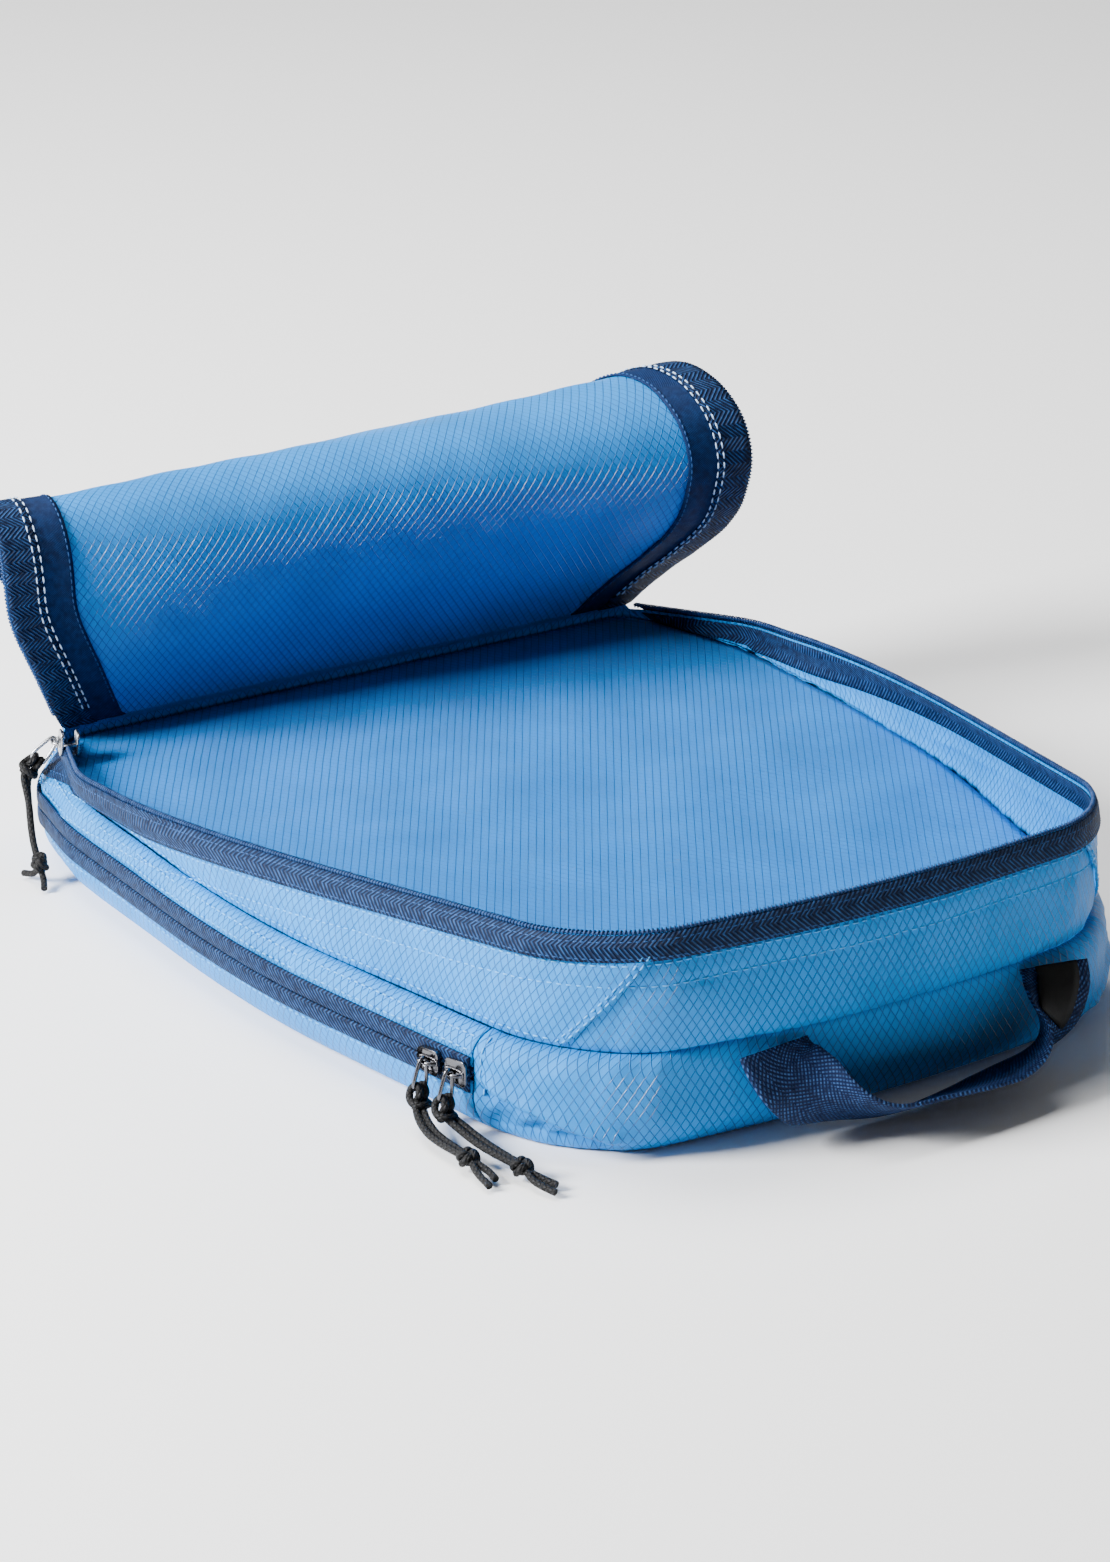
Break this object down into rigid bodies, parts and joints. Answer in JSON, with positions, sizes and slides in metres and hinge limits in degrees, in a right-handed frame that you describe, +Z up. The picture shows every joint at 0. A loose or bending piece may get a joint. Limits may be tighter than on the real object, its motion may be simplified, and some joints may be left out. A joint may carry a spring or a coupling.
{
  "type": "packing cube",
  "caption": "Soft zipped travel organiser with two stacked compartments, lid rolled back over the rear wall, webbing loop handle and corded zip sliders.",
  "frame": {"origin": "on the floor under the middle of the bag's overall box, without its cord pulls", "axes": "+X to the right seen from the handle, +Y from the handle to the hinge line of the lid, +Z up"},
  "size_m": [0.2883, 0.389, 0.1323],
  "materials": {
    "ripstop_blue": "light blue coated ripstop cloth with a white diamond grid",
    "divider_blue": "plain light blue lining cloth",
    "tape_navy": "navy herringbone zip tape",
    "coil_navy": "navy nylon zip coil",
    "webbing_navy": "navy woven webbing",
    "label_black": "bare black woven label",
    "cord_black": "black braided cord",
    "slider_dark": "dark nickel",
    "slider_bright": "bright nickel"
  },
  "bodies": {
    "base": {"base_panel": "ripstop_blue", "base_side_left": "ripstop_blue", "base_side_right": "ripstop_blue", "base_rear": "ripstop_blue", "lower_zip_tape_base": "tape_navy", "lower_zip_coil_base": "coil_navy"},
    "main": {"front_panel_lower": "ripstop_blue", "front_panel_upper": "ripstop_blue", "side_panel_left_upper": "ripstop_blue", "side_panel_right_upper": "ripstop_blue", "side_panel_left_lower": "ripstop_blue", "side_panel_right_lower": "ripstop_blue", "rear_panel": "ripstop_blue", "divider_panel": "divider_blue", "lower_zip_tape_wall": "tape_navy", "lower_zip_coil_wall": "coil_navy", "rim_zip_tape": "tape_navy", "rim_zip_coil": "coil_navy"},
    "lid": {"lid_panel": "ripstop_blue", "lid_zip_tape": "tape_navy", "lid_zip_coil": "coil_navy"},
    "handle": {"handle_strap": "webbing_navy", "size_label": "label_black"},
    "slider_lower_rear": {"slider_lower_rear": "slider_dark"},
    "bail_lower_rear": {"bail_lower_rear": "slider_dark"},
    "pull_lower_rear": {"pull_cord_lower_rear": "cord_black"},
    "slider_lower_front": {"slider_lower_front": "slider_dark"},
    "bail_lower_front": {"bail_lower_front": "slider_dark"},
    "pull_lower_front": {"pull_cord_lower_front": "cord_black"},
    "slider_top": {"slider_top": "slider_bright"},
    "bail_top": {"bail_top": "slider_bright"},
    "pull_top": {"pull_cord_top": "cord_black"}
  },
  "joints": [
    {"name": "main_compartment_lift", "type": "hinge", "parent": "base", "child": "main", "pos_m": [0, -0.16225, 0.0041], "axis": [1, 0, 0], "range_deg": [0, 40]},
    {"name": "lid_swing", "type": "hinge", "parent": "main", "child": "lid", "pos_m": [0, 0.16665, 0.0385], "axis": [1, 0, 0], "range_deg": [-60, 20]},
    {"name": "handle_lift", "type": "hinge", "parent": "main", "child": "handle", "pos_m": [0, -0.16785, 0.0344], "axis": [-1, 0, 0], "range_deg": [0, 100]},
    {"name": "slider_lower_rear_slide", "type": "slide", "parent": "main", "child": "slider_lower_rear", "axis": [-0.1948, 0.9808, 0], "range_m": [0, 0.05]},
    {"name": "bail_lower_rear_swing", "type": "hinge", "parent": "slider_lower_rear", "child": "bail_lower_rear", "pos_m": [-0.12574, -0.098, 0.02], "axis": [-0.1948, 0.9808, 0], "range_deg": [0, 90]},
    {"name": "pull_lower_rear_swing", "type": "hinge", "parent": "bail_lower_rear", "child": "pull_lower_rear", "pos_m": [-0.12761, -0.09837, 0.011], "axis": [-0.9594, -0.1905, 0.2079], "range_deg": [0, 25]},
    {"name": "slider_lower_front_slide", "type": "slide", "parent": "main", "child": "slider_lower_front", "axis": [-0.1948, 0.9808, 0], "range_m": [0, 0.0015]},
    {"name": "bail_lower_front_swing", "type": "hinge", "parent": "slider_lower_front", "child": "bail_lower_front", "pos_m": [-0.12345, -0.1095, 0.02], "axis": [-0.1948, 0.9808, 0], "range_deg": [0, 90]},
    {"name": "pull_lower_front_swing", "type": "hinge", "parent": "bail_lower_front", "child": "pull_lower_front", "pos_m": [-0.12533, -0.10987, 0.011], "axis": [-0.9594, -0.1905, 0.2079], "range_deg": [0, 25]},
    {"name": "slider_top_slide", "type": "slide", "parent": "main", "child": "slider_top", "axis": [-0.3436, -0.9333, 0.1043], "range_m": [0, 0.02]},
    {"name": "bail_top_swing", "type": "hinge", "parent": "slider_top", "child": "bail_top", "pos_m": [-0.12814, 0.14974, 0.04207], "axis": [0.3436, 0.9333, -0.1043], "range_deg": [0, 90]},
    {"name": "pull_top_swing", "type": "hinge", "parent": "bail_top", "child": "pull_top", "pos_m": [-0.13439, 0.1513, 0.0355], "axis": [-0.6488, 0.3163, 0.6921], "range_deg": [-15, 15]}
  ],
  "couplings": [
    {"joint": "bail_lower_rear_swing", "follows": "bail_lower_front_swing", "ratio": 1}
  ]
}
